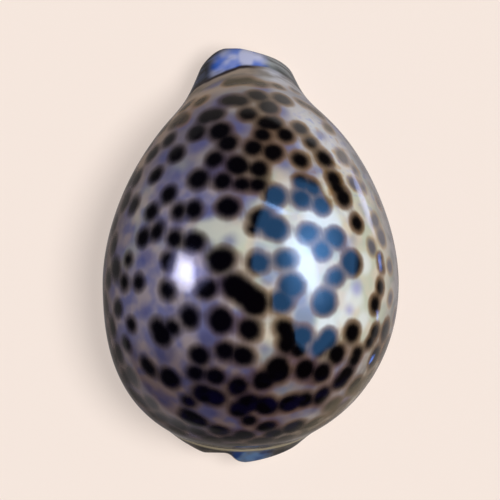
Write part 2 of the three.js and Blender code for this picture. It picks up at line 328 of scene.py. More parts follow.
# ---------------------------------------------------------------- markings, as places on the shell
# The dark spots of the back: x, y and radius in mm, seen from above.
MARKED_SPOTS = [
    # the crown
    (-5.6, -0.9, 2.7), (-2.5, -5.8, 2.7), (-0.9, -7.2, 2.5), (0.8, -8.6, 2.8), (-8.7, -6.3, 2.0),
    (-10.2, 2.4, 2.1), (-4.6, 9.4, 1.9), (-3.8, 9.2, 1.9), (1.8, -1.4, 2.2), (6.7, -0.6, 1.9),
    (7.9, -5.9, 2.4), (6.0, -8.8, 2.3), (14.2, -8.8, 2.5), (16.1, -4.1, 1.7), (19.2, -1.3, 2.4),
    (16.3, 3.5, 2.0), (11.0, 4.3, 1.9), (13.3, 0.9, 1.6), (4.9, 5.2, 2.5), (1.7, 7.0, 2.3),
    (9.5, 10.6, 2.0), (13.6, 9.8, 1.9), (4.5, 11.1, 2.3), (9.3, 13.9, 1.7), (12.1, 12.9, 1.7),
    (15.6, 14.6, 1.8), (16.5, 13.0, 1.6), (17.5, 11.0, 2.0), (20.1, 6.2, 1.7), (0.2, 5.0, 1.0),
    # towards the rear
    (-5.7, -12.0, 2.4), (-5.5, -12.8, 2.1), (-0.1, -14.1, 2.4), (6.8, -13.8, 1.9), (7.3, -16.8, 2.0),
    (6.9, -15.2, 1.8), (9.6, -15.4, 2.2), (9.4, -17.8, 1.6), (12.9, -17.4, 1.8), (14.6, -15.9, 2.0),
    (4.9, -21.6, 2.5), (2.6, -23.6, 2.1), (-4.6, -18.1, 2.0), (-1.1, -18.7, 2.0), (-9.7, -18.9, 2.0),
    (-15.5, -23.4, 2.1), (-17.5, -13.7, 2.0), (-16.9, -15.1, 2.1), (-14.4, -13.7, 1.6), (-11.9, -11.6, 2.1),
    (-19.9, -20.6, 1.5), (-19.4, -21.7, 1.4), (-10.8, -22.1, 1.6), (-6.7, -22.8, 1.7), (-2.4, -24.8, 1.8),
    (-8.6, -26.2, 2.2), (-7.0, -26.9, 2.1), (-12.0, -27.8, 1.4), (-0.4, -28.1, 2.1), (3.4, -28.7, 2.3),
    (7.3, -28.0, 2.2), (-2.0, -29.2, 1.9), (-0.5, -31.3, 1.5), (-11.8, -30.8, 2.2), (-10.4, -31.4, 2.2),
    (-6.3, -33.3, 1.8), (-1.4, -34.4, 1.8), (3.0, -32.8, 1.7), (10.2, -21.4, 2.2), (13.4, -22.3, 2.0),
    (16.4, -18.5, 2.0), (19.3, -14.7, 2.0), (17.0, -24.0, 1.8), (18.2, -22.5, 1.8), (13.5, -26.8, 1.8),
    (19.7, -19.6, 1.5), (20.5, -18.5, 1.5), (22.7, -16.4, 1.4), (23.5, -14.6, 1.5), (23.6, -9.2, 1.8),
    (10.3, -27.4, 1.7), (24.8, -5.9, 1.4), (24.7, -0.4, 0.8), (24.9, -2.4, 0.8), (15.8, -28.6, 1.7),
    (20.0, -25.0, 1.8),
    # the left flank
    (-16.0, -6.5, 1.8), (-15.2, -1.0, 1.7), (-14.4, 3.3, 1.7), (-20.6, 3.5, 1.7), (-18.0, 4.4, 1.6),
    (-13.7, 8.3, 1.7), (-10.7, 8.6, 1.8), (-18.6, 8.2, 1.6), (-15.8, 11.8, 1.8), (-22.4, 9.8, 1.7),
    (-23.5, -0.6, 1.4), (-23.9, -5.2, 1.6), (-21.1, -5.0, 1.5), (-25.4, -10.1, 1.5), (-22.9, -13.3, 1.4),
    (-23.7, -17.0, 1.5), (-18.0, 15.4, 1.7), (-21.8, 14.7, 1.6), (-14.1, 19.2, 1.8), (-15.7, 22.2, 1.6),
    (-26.0, 2.0, 1.6), (-27.3, -4.4, 1.6), (-23.9, -23.4, 1.6), (-20.6, -28.0, 1.6), (-17.1, -31.0, 1.8),
    # towards the front
    (-10.1, 14.4, 2.2), (-7.0, 18.3, 1.9), (-2.6, 17.2, 2.2), (1.8, 16.5, 1.9), (-5.1, 13.9, 1.8),
    (-1.9, 13.5, 1.8), (1.2, 13.5, 1.7), (0.2, 20.3, 2.0), (4.3, 19.6, 2.0), (9.5, 17.9, 1.9),
    (13.9, 18.4, 2.0), (-5.7, 23.8, 2.2), (-4.5, 21.4, 1.9), (2.9, 25.2, 1.8), (4.4, 25.2, 1.8),
    (2.4, 23.0, 1.8), (6.4, 23.0, 1.8), (9.4, 24.3, 1.5), (11.8, 21.6, 1.5), (-10.3, 23.4, 2.0),
    (-8.3, 26.4, 1.9), (-6.6, 27.0, 1.9), (-0.6, 26.8, 1.8), (-4.1, 29.5, 1.8), (-2.5, 29.7, 1.8),
    (1.3, 30.6, 1.7), (3.6, 28.3, 1.9), (6.0, 30.1, 1.8),
]  # fmt: skip
# In the same way: older spots that show lilac-blue through the later layers, pale patches, and worn spots.
MARKED_OLD = [
    (-10.6, 20.3, 1.4), (-9.2, 21.4, 1.3), (-14.3, 15.5, 1.5), (-19.8, -0.2, 1.6), (-20.0, -10.8, 1.8),
    (-16.4, -18.6, 2.2), (-16.3, -27.6, 2.0), (20.1, -6.4, 0.9), (18.5, -10.4, 0.8), (6.8, 17.4, 1.6),
    (9.8, -11.2, 2.1), (3.3, -4.3, 1.6), (5.0, -3.4, 1.1), (9.2, -8.2, 2.0), (10.2, -13.6, 1.7),
    (-8.0, 1.6, 1.4), (-3.0, 24.6, 1.6), (7.6, 20.6, 1.4), (10.8, 15.6, 1.6), (-6.9, -29.8, 1.4),
    (17.9, -27.8, 1.2), (-19.7, -25.5, 1.4), (-7.5, 8.0, 1.4), (-3.6, 2.8, 1.6), (-14.0, 6.0, 1.2),
    (-16.9, 12.9, 1.3), (13.4, 23.0, 1.3), (4.4, 8.4, 1.5), (8.6, 15.6, 1.4), (12.4, 16.2, 1.3),
    (-14.6, -10.2, 1.5),
]  # fmt: skip
MARKED_PALE = [
    (-9.0, 4.6, 1.8), (-6.0, 5.2, 2.2), (-3.0, 4.0, 2.2), (5.2, -34.6, 1.3), (14.3, -13.2, 1.9),
    (18.0, -11.8, 1.7), (15.5, 7.0, 2.2), (12.0, 7.2, 2.0), (8.2, 1.6, 2.0), (10.4, -1.8, 2.2),
    (11.3, -5.2, 1.8), (18.6, 8.8, 1.6), (19.6, -8.4, 2.0), (21.6, -1.6, 1.8), (21.5, -12.4, 1.5),
]  # fmt: skip
MARKED_WORN = [
    (17.7, 18.8, 1.9), (19.8, 13.6, 1.4), (21.4, 13.1, 1.0), (19.8, 16.4, 0.9), (24.0, 6.7, 1.6),
    (23.0, 1.8, 1.5), (25.0, 3.4, 1.9), (26.6, -2.2, 1.4), (26.6, -8.3, 1.3), (27.6, -11.6, 1.4),
    (25.3, -18.7, 1.5), (24.7, -21.4, 1.5), (24.6, 10.0, 1.1), (20.6, 20.4, 1.2), (14.9, 24.4, 1.4),
    (13.0, 27.2, 1.4), (11.4, 28.4, 1.1), (9.8, 29.4, 1.2), (8.4, 32.0, 1.1), (5.2, 32.6, 1.2),
    (1.7, 33.0, 1.5), (-1.0, 33.4, 1.9), (-3.6, 33.2, 1.7), (-9.6, 29.6, 1.5), (-12.4, 28.6, 1.5),
    (-12.8, 26.2, 1.6),
]  # fmt: skip
SEED = 7
# Each scatter of spots over the flanks: places tried, size against the usual, and mm kept free besides.
SCATTERS = [(7000, 1.0, 0.0), (7000, 0.78, 0.6)]
SPOT_RADIUS = 2.25  # mm, on the crown
SPOT_GAP = dict(apart=1.0, crowded=0.25)  # mm
# How far a spot's size, gap (mm) and length vary at random.
VARY = dict(size=(0.86, 1.16), gap=(-0.5, 0.6), stretch=(0, 0.2))
OLD_SPOTS = dict(tries=2500, apart=6.8, radius=(1.3, 2.4))
BLEND = dict(spot=0.95, under=1.2, worn=1.5, pale=1.5)  # mm between spots that start to merge
# Where the front collar starts, in mm: the crest of its arc, and its fall at the side angle, in radians.
COLLAR_ARC = dict(x=0.2, crest=36.2, fall=4.4, side=1.31, power=2.2)
LOBES_FROM = -25  # mm, the front end of the rear lobes


def main_surface():
    t, start, stop = ring_places()
    skin, normal = shell_surface(row_places(), t)
    return skin, normal, start, stop


def on_top(skin, normal, x, y):
    """The place on the upper skin over the point x, y."""
    gap = np.hypot(skin[..., 0] - x, skin[..., 1] - y) + np.where(normal[..., 2] > 0.02, 0, 1e3)
    gap = gap - 0.02 * skin[..., 2]
    at = np.unravel_index(np.argmin(gap), gap.shape)
    return skin[at], normal[at]


def outer_skin_mask(skin):
    """True on the outside, False in the hollow and on the lips."""
    ring = skin.shape[1]
    t = ring_places()[0]
    return np.broadcast_to((t < RING["outer"] - 1)[None], (skin.shape[0], ring))


def area_weights(skin):
    along = np.linalg.norm(np.gradient(skin, axis=0), axis=-1)
    around = np.linalg.norm(np.roll(skin, -1, 1) - np.roll(skin, 1, 1), axis=-1) / 2
    return along * around


def spot_radius(p):
    """The usual radius of a spot here: smaller to the front and on the left flank."""
    front = smooth_step(p[1], 8, 30)
    left = smooth_step(-p[0], 9, 15)
    return float(SPOT_RADIUS * (1 - 0.2 * np.maximum(front, left)))


def spot_crowding(p):
    """0 where the spots stand apart, 1 where they nearly touch: over the rear and on the front's middle."""
    rear = smooth_step(-p[1], 10, 20)
    front = smooth_step(p[1], 8, 14) * (1 - smooth_step(abs(p[0] + 1), 10, 16))
    return float(np.maximum(rear, front))


def marked_places(skin, normal, marked):
    """Centres and radii in mm of spots that are marked as seen from above."""
    return [(*on_top(skin, normal, x, y)[0], r) for x, y, r in marked]


def on_flanks(points, normal):
    """True where spots are scattered: the steep flanks, less the stretches whose spots are all marked."""
    x, y, z = points.T
    marked_right = (x > 8) & (y > -14) & (z > np.where(y > 4, 13, 15))
    marked_front = (y > 27) & (z > 9.5)
    return (normal[:, 2] < 0.42) & (z > 3.5) & ~(marked_right | marked_front)


def spot_places(skin, normal, rng):
    """Centres and radii of all dark spots, in mm: the marked ones, then the scatters over the flanks."""
    chosen = marked_places(skin, normal, MARKED_SPOTS)
    mask = outer_skin_mask(skin)
    points = skin[mask]
    weight = area_weights(skin)[mask] * on_flanks(points, normal[mask])
    for tries, share, spare in SCATTERS:
        for k in rng.choice(len(points), tries, replace=False, p=weight / weight.sum()):
            p = points[k]
            size = spot_radius(p) * share * rng.uniform(*VARY["size"])
            wanted = lerp(SPOT_GAP["apart"] + spare, SPOT_GAP["crowded"], spot_crowding(p))
            wanted += rng.uniform(*VARY["gap"])
            others = np.array(chosen)
            gap = (np.linalg.norm(others[:, :3] - p, axis=1) - others[:, 3]).min() - size
            if gap > wanted:
                chosen.append((*p, size))
    return np.array(chosen)


def spot_distance(points, spots, rng, blend):
    """Distance in mm outside the nearest spot, each a little oval, with close neighbours merged."""
    nearest = np.full((len(points), 2), 50.0)
    for x, y, z, r in spots:
        q = points - (x, y, z)
        stretch = rng.uniform(*VARY["stretch"])
        direction = rng.normal(size=3)
        along = q @ (direction / np.linalg.norm(direction))
        d = np.sqrt((q**2).sum(1) - stretch * (2 - stretch) * along**2) - r * (1 - stretch / 2)
        closer = d < nearest[:, 0]
        nearest[:, 1] = np.where(closer, nearest[:, 0], np.minimum(nearest[:, 1], d))
        nearest[:, 0] = np.where(closer, d, nearest[:, 0])
    return smooth_min(nearest[:, 0], nearest[:, 1], blend)


def old_spot_places(skin, normal, rng):
    """Centres and radii of the older spots, in mm: the marked ones, then a scatter off the crown."""
    chosen = marked_places(skin, normal, MARKED_OLD)
    mask = outer_skin_mask(skin)
    points = skin[mask]
    crown = (points[:, 0] > -4) & (np.abs(points[:, 1] + 2) < 22)
    weight = area_weights(skin)[mask] * (points[:, 2] > 5) * ~crown
    for k in rng.choice(len(points), OLD_SPOTS["tries"], replace=False, p=weight / weight.sum()):
        p = points[k]
        if np.linalg.norm(np.array(chosen)[:, :3] - p, axis=1).min() > OLD_SPOTS["apart"]:
            chosen.append((*p, rng.uniform(*OLD_SPOTS["radius"])))
    return np.array(chosen)


def front_arc(p):
    """Distance in mm in front of the collar's arc, which crests on top and falls back at the sides."""
    a = COLLAR_ARC
    angle = np.abs(np.arctan2(p[:, 0] - a["x"], p[:, 2] - axis_z(p[:, 1])))
    return p[:, 1] - (a["crest"] - a["fall"] * (angle / a["side"]) ** a["power"])


def rear_lobe(p):
    """How far outside the domed body the rear lobes stand, in mm, and well below 0 in front of them."""
    return np.where(p[:, 1] < LOBES_FROM, dome(p[:, 0], p[:, 1], p[:, 2]), -5.0)


# ---------------------------------------------------------------- meshes
def new_object(name, vertices, faces):
    mesh = bpy.data.meshes.new(name)
    mesh.from_pydata([tuple(p) for p in vertices], [], faces)
    mesh.update()
    thing = bpy.data.objects.new(name, mesh)
    bpy.context.scene.collection.objects.link(thing)
    return thing


def set_attribute(thing, name, values):
    layer = thing.data.attributes.new(name, "FLOAT", "POINT")
    layer.data.foreach_set("value", np.ascontiguousarray(values, np.float32))


def spot_fields(skin, normal):
    """Distance outside each kind of spot, in mm, for every vertex."""
    rng = np.random.default_rng(SEED)
    points = skin.reshape(-1, 3)
    fields = {
        "spot": spot_distance(points, spot_places(skin, normal, rng), rng, BLEND["spot"]),
        "under": spot_distance(points, old_spot_places(skin, normal, rng), rng, BLEND["under"]),
    }
    for name, marked in (("worn", MARKED_WORN), ("pale", MARKED_PALE)):
        fields[name] = spot_distance(points, marked_places(skin, normal, marked), rng, BLEND[name])
    return fields


def bare_share(skin, normal):
    """1 on the base and in the hollow, which have no colour, and 0 on the back."""
    low = 1 - smooth_step(skin[..., 2], 2.2, 6.5)
    facing_down = smooth_step(-normal[..., 2], 0.1, 0.75)
    return np.maximum(low * facing_down, ~outer_skin_mask(skin))


def build_shell():
    """The visible shell, and its surface as vertices and normals in mm."""
    skin, normal, start, stop = main_surface()
    points = skin.reshape(-1, 3)
    shell = new_object("cowrie_shell", points * M_PER_MM, shell_faces(skin, start, stop))
    shell.data.shade_smooth()
    fields = spot_fields(skin, normal)
    fields["bare"] = bare_share(skin, normal).reshape(-1)
    fields["steep"] = 1 - np.clip(normal[..., 2], 0, 1).reshape(-1)
    fields["front_arc"] = front_arc(points)
    fields["rear_lobe"] = rear_lobe(points)
    for name, values in fields.items():
        set_attribute(shell, name, values)
    return shell, (skin, normal)


# ---------------------------------------------------------------- materials
NOISE_GAIN = 3.0  # raw noise keeps near the middle of 0..1
ENAMEL = dict(roughness=0.07, ior=1.52, bump=0.00003)  # bump in metres


def linear(red, green, blue):
    """A colour given as 0..255 sRGB, as the shader wants it."""

    def one(c):
        c = c / 255
        return c / 12.92 if c <= 0.04045 else ((c + 0.055) / 1.055) ** 2.4

    return (one(red), one(green), one(blue), 1.0)


class Nodes:
    """A short way to write a node tree."""

    def __init__(self, tree):
        self.tree = tree

    def add(self, kind, inputs=(), **settings):
        node = self.tree.nodes.new(kind)
        for key, value in settings.items():
            setattr(node, key, value)
        for key, value in dict(inputs).items():
            self.plug(node.inputs[key], value)
        return node

    def plug(self, socket, value):
        if isinstance(value, bpy.types.NodeSocket):
            self.tree.links.new(value, socket)
        else:
            socket.default_value = value

    def attribute(self, name):
        return self.add("ShaderNodeAttribute", attribute_name=name).outputs["Fac"]

    def math(self, operation, *values):
        node = self.add("ShaderNodeMath", operation=operation)
        for socket, value in zip(node.inputs, values):
            self.plug(socket, value)
        return node.outputs[0]

    def ramp(self, value, low, high, to_low=0.0, to_high=1.0):
        """A smooth step from to_low at low to to_high at high."""
        node = self.add("ShaderNodeMapRange", interpolation_type="SMOOTHSTEP")
        for socket, x in zip(node.inputs, (value, low, high, to_low, to_high)):
            self.plug(socket, x)
        return node.outputs[0]

    def mix(self, factor, a, b):
        """Colour a at factor 0, b at 1."""
        node = self.add("ShaderNodeMix", data_type="RGBA")
        self.plug(node.inputs["Factor"], factor)
        colour_a, colour_b = [s for s in node.inputs if s.type == "RGBA"]
        self.plug(colour_a, a)
        self.plug(colour_b, b)
        return [s for s in node.outputs if s.type == "RGBA"][0]

    def noise(self, place, scale, detail, roughness, offset):
        """Smooth noise round 0, from about -1 to 1, at a number of bumps per mm; offset picks the pattern."""
        settings = {"Vector": place, "Scale": scale, "Detail": detail, "Roughness": roughness, "W": offset}
        node = self.add("ShaderNodeTexNoise", settings, noise_dimensions="4D")
        return self.math("MULTIPLY_ADD", node.outputs["Fac"], NOISE_GAIN, -NOISE_GAIN / 2)

    def times(self, a, b):
        return self.math("MULTIPLY", a, b)

    def scaled_and(self, value, scale, more):
        """value * scale + more"""
        return self.math("MULTIPLY_ADD", value, scale, more)

    def off_middle(self, value, middle):
        return self.math("ABSOLUTE", self.math("SUBTRACT", value, middle))


class EnamelNodes(Nodes):
    """The enamel's node tree, with the places and noises that its colours are worked out from.

    x, y and z are in mm on the shell's axes. A field named after a part of the shell is 1 there, 0 elsewhere.
    """

    def __init__(self, tree):
        super().__init__(tree)
        metres = self.add("ShaderNodeTexCoord").outputs["Object"]
        to_mm = {0: metres, "Scale": 1 / M_PER_MM}
        self.place = self.add("ShaderNodeVectorMath", to_mm, operation="SCALE").outputs[0]
        axes = self.add("ShaderNodeSeparateXYZ", {0: self.place}).outputs
        self.x, self.y, self.z = axes["X"], axes["Y"], axes["Z"]
        self.add_noises()
        self.add_parts()

    def add_noises(self):
        self.mottle = self.noise(self.place, 0.3, 1.5, 0.5, 6.0)
        self.cloud = self.noise(self.place, 0.3, 1.0, 0.4, 10.0)
        self.wobble = self.times(self.noise(self.place, 0.28, 2.0, 0.45, 1.0), 0.42)

    def add_parts(self):
        drifting = self.noise(self.place, 0.07, 1.0, 0.5, 4.0)
        self.to_right = self.ramp(self.scaled_and(drifting, 5.0, self.x), -13, 12)
        self.to_rear = self.ramp(self.y, -10, -26)
        self.to_front = self.ramp(self.y, 9, 22)
        self.right_rear = self.times(self.ramp(self.x, 0, 12), self.ramp(self.y, -8, -22))
        self.left_rear = self.times(self.ramp(self.x, 2, -8), self.ramp(self.y, -12, -24))
        self.steep = self.attribute("steep")
        margin = self.ramp(self.scaled_and(self.right_rear, 0.1, self.steep), 0.48, 0.8)
        self.margin = self.times(margin, self.ramp(self.left_rear, 0, 1, 1.0, 0.45))

    def margin_bands(self):
        """Noise drawn out along the margin."""
        down = self.scaled_and(self.steep, 14.0, self.times(self.mottle, 1.2))
        contour = self.add("ShaderNodeCombineXYZ", {"X": down, "Y": self.times(self.x, 0.14)})
        return self.noise(contour.outputs[0], 0.6, 2.0, 0.5, 14.0)


def back_colour(n):
    """The ground of the back: lilac on the left, cream on the right, grey in front and dusky behind. Part of
    this is painted shade: the ground is made darker on the left and at the rear, the sides turned from the
    light.
    """
    patches = n.scaled_and(n.to_right, 1.1, n.noise(n.place, 0.11, 2.0, 0.5, 5.0))
    patches = n.scaled_and(n.to_rear, -0.8, patches)
    # Lilac on the left and cream on the right: partly the shell's own colours, partly painted shade darkening
    # the side away from the light.
    lilac = n.mix(n.ramp(n.mottle, -0.5, 0.5), linear(108, 110, 154), linear(158, 148, 158))
    cream = n.mix(n.ramp(n.mottle, -0.5, 0.5), linear(196, 202, 184), linear(216, 206, 188))
    ground = n.mix(n.ramp(patches, 0.15, 0.95), lilac, cream)
    # In front, darker grey on the left and pale on the right: again partly painted shade.
    grey = n.mix(n.ramp(n.x, 3, 12), linear(114, 107, 120), linear(196, 200, 216))
    ground = n.mix(n.times(n.to_front, 0.7), ground, grey)
    # Painted shade: a dusky veil over the rear, heavier on the left, then a deep navy-violet shade over the
    # middle of the rear.
    dusky_rear_shade = n.mix(n.ramp(n.mottle, -0.4, 0.4), linear(88, 80, 98), linear(124, 106, 100))
    ground = n.mix(n.times(n.to_rear, n.ramp(n.to_right, 0, 1, 0.8, 0.35)), ground, dusky_rear_shade)
    deep = n.mix(n.ramp(n.mottle, -0.5, 0.3), linear(62, 64, 104), linear(98, 82, 86))
    rear_shade_share = n.times(n.ramp(n.y, -15, -24), n.ramp(n.x, 17, 9, 0.0, 0.62))
    return n.mix(rear_shade_share, ground, deep)


def with_flecks(n, ground):
    """Gold and blue flecks over the right of the front."""
    flecks = n.noise(n.place, 0.5, 1.0, 0.5, 12.0)
    right_front = n.times(n.ramp(n.x, 5, 12), n.ramp(n.y, 2, 14))
    gold, blue = linear(186, 150, 96), linear(128, 142, 204)
    ground = n.mix(n.times(right_front, n.ramp(flecks, 0.1, 0.6, 0.0, 0.55)), ground, gold)
    return n.mix(n.times(right_front, n.ramp(flecks, -0.1, -0.6, 0.0, 0.6)), ground, blue)


def with_pale_patches(n, ground):
    pale = n.scaled_and(n.mottle, 0.5, n.attribute("pale"))
    white = n.mix(n.ramp(n.x, -2, 5), linear(200, 203, 194), linear(226, 232, 232))
    return n.mix(n.ramp(pale, 1.2, -0.8, 0.0, 0.85), ground, white)


def with_margins(n, ground, bands):
    """Beige on the left margin, grey on the right, streaked beige at its rear, and a painted sheen, a
    reflection, by the front.
    """
    left = n.mix(n.ramp(n.y, 6, 22), linear(120, 105, 97), linear(196, 174, 152))
    right = n.mix(n.ramp(n.mottle, -0.4, 0.4), linear(100, 98, 108), linear(134, 133, 142))
    streaked = n.mix(n.ramp(bands, -0.5, 0.5), linear(128, 118, 100), linear(208, 198, 180))
    right = n.mix(n.right_rear, right, streaked)
    ground = n.mix(n.times(n.margin, 0.85), ground, n.mix(n.ramp(n.x, -4, 8), left, right))
    # Painted sheen: a pale reflection laid into the colour on the right, by the front.
    painted_sheen = n.times(n.ramp(n.x, 0, 5), n.ramp(n.y, 25, 30, 0.0, 0.4))
    return n.mix(painted_sheen, ground, linear(182, 184, 194))


def with_old_spots(n, ground):
    """Older spots under the later layers, lilac-blue, and worn spots with an amber ring."""
    under = n.math("ADD", n.attribute("under"), n.times(n.noise(n.place, 0.2, 1.0, 0.4, 3.0), 0.9))
    veil = n.times(n.ramp(under, 1.3, -1.2), n.ramp(n.margin, 0, 1, 0.65, 0.35))
    old_blue = n.mix(n.ramp(n.y, -8, -18), linear(76, 82, 142), linear(60, 60, 98))
    ground = n.mix(veil, ground, n.mix(n.ramp(n.x, 14, 17), old_blue, linear(140, 142, 212)))
    worn = n.math("ADD", n.attribute("worn"), n.wobble)
    ground = n.mix(n.times(n.ramp(worn, 1.1, 0.2), 0.45), ground, linear(160, 118, 50))
    core = n.mix(n.ramp(n.y, 14, 24), linear(84, 86, 102), linear(66, 60, 42))
    return n.mix(n.ramp(worn, 0.8, -0.7, 0.0, 0.88), ground, core)


def spot_edge(n):
    """Distance outside the dark spots in mm, with uneven edges, and the spots a little larger at the rear."""
    rear = n.times(n.ramp(n.y, -16, -24), n.ramp(n.x, -18, -4))
    swollen = n.scaled_and(rear, 0.3, 0.1)
    return n.math("ADD", n.math("SUBTRACT", n.attribute("spot"), swollen), n.wobble)


def with_halos(n, ground, edge):
    """A soft ring round each dark spot: gold-brown on the right, and dusky on the left."""
    halo = n.times(n.ramp(edge, 1.1, 0.25), n.ramp(n.x, -12, 14, 0.35, 0.72))
    halo = n.times(halo, n.ramp(n.to_rear, 0, 1, 1.0, 0.5))
    gold = n.mix(n.to_front, linear(132, 88, 36), linear(150, 114, 58))
    return n.mix(halo, ground, n.mix(n.ramp(n.x, -13, 8), linear(84, 68, 66), gold))


def with_dark_spots(n, ground, bands):
    """The dark spots: black in the middle, brown at the edge, and olive where they fade into the margins."""
    edge = spot_edge(n)
    ground = with_halos(n, ground, edge)
    black = n.mix(n.to_right, linear(4, 3, 10), linear(4, 2, 3))
    navy = n.times(n.ramp(n.y, -21, -27, 0.0, 0.8), n.ramp(n.mottle, -0.2, 0.5))
    black = n.mix(navy, black, linear(8, 5, 32))
    rust = n.mix(n.ramp(n.x, -15, 2), linear(16, 11, 16), linear(44, 26, 12))
    dark = n.mix(n.ramp(edge, 0.3, -0.8), rust, black)
    dark = n.mix(n.ramp(n.y, 24, 33, 0.0, 0.4), dark, linear(62, 56, 48))

    front_left = n.times(n.ramp(n.x, -1, -8), n.ramp(n.y, 18, 27))
    far_right_rear = n.times(n.ramp(n.x, 6, 16), n.ramp(n.y, -18, -28))
    olive = n.mix(n.ramp(n.x, 0, 14), linear(76, 68, 54), linear(84, 82, 84))
    rear_olive = n.mix(n.ramp(bands, -0.5, 0.5), linear(98, 90, 70), linear(138, 127, 108))
    olive = n.mix(n.right_rear, olive, rear_olive)
    olive = n.mix(front_left, olive, linear(128, 114, 98))
    faded = n.scaled_and(far_right_rear, 0.22, n.scaled_and(front_left, 0.12, n.steep))
    dark = n.mix(n.ramp(faded, 0.6, 0.92, 0.0, 0.85), dark, olive)

    core = n.math("SUBTRACT", 1.0, n.math("POWER", n.ramp(edge, 1.1, -1.3, 1.0, 0.0), 1.9))
    lost = n.times(far_right_rear, n.ramp(faded, 0.7, 1.0))
    return n.mix(n.times(core, n.ramp(lost, 0, 1, 1.0, 0.7)), ground, dark)


def front_collar_colour(n, streaks):
    """Slate streaks, with a painted reflection in cloudy blue and white on the crest of the collar."""
    slate = n.mix(n.ramp(streaks, -0.6, 0.6), linear(46, 50, 52), linear(138, 146, 150))
    left_slate = n.mix(n.ramp(streaks, -0.2, 0.6), linear(38, 40, 48), linear(84, 98, 150))
    slate = n.mix(n.ramp(n.x, -1, -6, 0.0, 0.85), slate, left_slate)
    # Painted reflection: the cloudy blue and white on the top of the collar stand in for a window mirrored
    # there.
    crest = n.times(n.ramp(n.z, 9.0, 12.5), n.ramp(n.off_middle(n.x, -2.3), 6.4, 3.8))
    painted_white_glints = n.scaled_and(n.ramp(n.off_middle(n.x, -0.9), 1.8, 0.3), 0.8, n.cloud)
    blue = n.mix(n.ramp(painted_white_glints, -0.3, 0.8), linear(60, 108, 214), linear(190, 196, 232))
    return n.mix(n.times(crest, n.ramp(streaks, -1.0, -0.1, 0.45, 0.95)), slate, blue)


def with_front_collar(n, colour):
    """A beige band, a thin dark line along the arc, and the collar in front of it."""
    gap = n.attribute("front_arc")
    flow = n.add("ShaderNodeCombineXYZ", {"X": n.times(n.x, 0.22), "Y": n.times(gap, 0.9)})
    streaks = n.noise(flow.outputs[0], 0.8, 2.0, 0.5, 9.0)
    arc = n.scaled_and(n.cloud, 0.5, gap)
    band = n.mix(n.ramp(n.x, 0, 5), linear(158, 143, 126), linear(184, 188, 202))
    band = n.mix(n.ramp(streaks, -0.5, 0.4), linear(108, 103, 96), band)
    colour = n.mix(n.ramp(arc, -2.6, -1.2, 0.0, 0.85), colour, band)
    line = n.times(n.ramp(arc, -0.6, -0.1), n.ramp(n.x, 3, -1, 0.25, 1.0))
    colour = n.mix(line, colour, linear(52, 46, 50))
    return n.mix(n.ramp(arc, 0.1, 0.7), colour, front_collar_colour(n, streaks))


def with_rear_lobes(n, colour):
    """A thin pale rim, then grey-brown lobes with cloudy blue between them, the blue a painted reflection."""
    lobe = n.scaled_and(n.cloud, 0.1, n.attribute("rear_lobe"))
    grey = n.mix(n.ramp(n.cloud, -0.5, 0.5), linear(46, 44, 42), linear(98, 92, 84))
    # Painted reflection: the cloudy blue between the lobes stands in for the window mirrored there.
    blue = n.mix(n.ramp(n.cloud, -0.3, 0.3), linear(32, 66, 130), linear(88, 122, 166))
    middle = n.times(n.ramp(n.off_middle(n.x, 0.2), 5.0, 2.5), n.ramp(n.mottle, -0.5, 0.4, 0.25, 0.9))
    colour = n.mix(n.ramp(lobe, 0.05, 0.25), colour, linear(176, 166, 138))
    return n.mix(n.ramp(lobe, 0.4, 0.8), colour, n.mix(middle, grey, blue))


def enamel_normal(n):
    """Slow swells, and a little of two finer ripples."""
    swell = n.noise(n.place, 0.16, 1.0, 0.4, 8.0)
    ripple = n.scaled_and(n.noise(n.place, 0.9, 2.0, 0.5, 11.0), 0.05, swell)
    across = n.add("ShaderNodeVectorMath", {0: n.place, 1: (1.0, 4.0, 1.0)}, operation="MULTIPLY").outputs[0]
    ripple = n.scaled_and(n.noise(across, 1.4, 1.0, 0.5, 13.0), 0.006, ripple)
    return n.add("ShaderNodeBump", {"Height": ripple, "Distance": ENAMEL["bump"]}).outputs[0]


def shell_material():
    material = bpy.data.materials.new("cowrie_enamel")
    material.use_nodes = True
    shader = material.node_tree.nodes["Principled BSDF"]
    n = EnamelNodes(material.node_tree)
    bands = n.margin_bands()
    colour = back_colour(n)
    colour = with_flecks(n, colour)
    colour = with_pale_patches(n, colour)
    colour = with_margins(n, colour, bands)
    colour = with_old_spots(n, colour)
    colour = with_dark_spots(n, colour, bands)
    colour = with_front_collar(n, colour)
    colour = with_rear_lobes(n, colour)
    colour = n.mix(n.attribute("bare"), colour, linear(238, 232, 222))
    n.plug(shader.inputs["Base Color"], colour)
    n.plug(shader.inputs["Normal"], enamel_normal(n))
    shader.inputs["Roughness"].default_value = ENAMEL["roughness"]
    shader.inputs["IOR"].default_value = ENAMEL["ior"]
    return material


def floor_material():
    material = bpy.data.materials.new("studio_floor")
    material.use_nodes = True
    shader = material.node_tree.nodes["Principled BSDF"]
    shader.inputs["Base Color"].default_value = (0.40, 0.35, 0.32, 1)
    shader.inputs["Emission Color"].default_value = (0.922, 0.807, 0.738, 1)
    shader.inputs["Emission Strength"].default_value = 0.58
    shader.inputs["Roughness"].default_value = 1.0
    shader.inputs["Specular IOR Level"].default_value = 0.0
    return material


def glow_material(name, colour, strength):
    material = bpy.data.materials.new(name)
    material.use_nodes = True
    tree = material.node_tree
    tree.nodes.clear()
    n = Nodes(tree)
    fade = n.attribute("fade")
    glow = n.add("ShaderNodeEmission", {"Color": colour, "Strength": n.math("MULTIPLY", fade, strength)})
    clear = n.add("ShaderNodeBsdfTransparent")
    both = n.add("ShaderNodeAddShader", {0: clear.outputs[0], 1: glow.outputs[0]})
    n.add("ShaderNodeOutputMaterial", {0: both.outputs[0]})
    return material


# ---------------------------------------------------------------- stage
# How far the studio cards stand from the shell, in metres.
FAR_CARD = 0.55
MIDDLE_CARD = 0.53
NEAR_CARD = 0.5

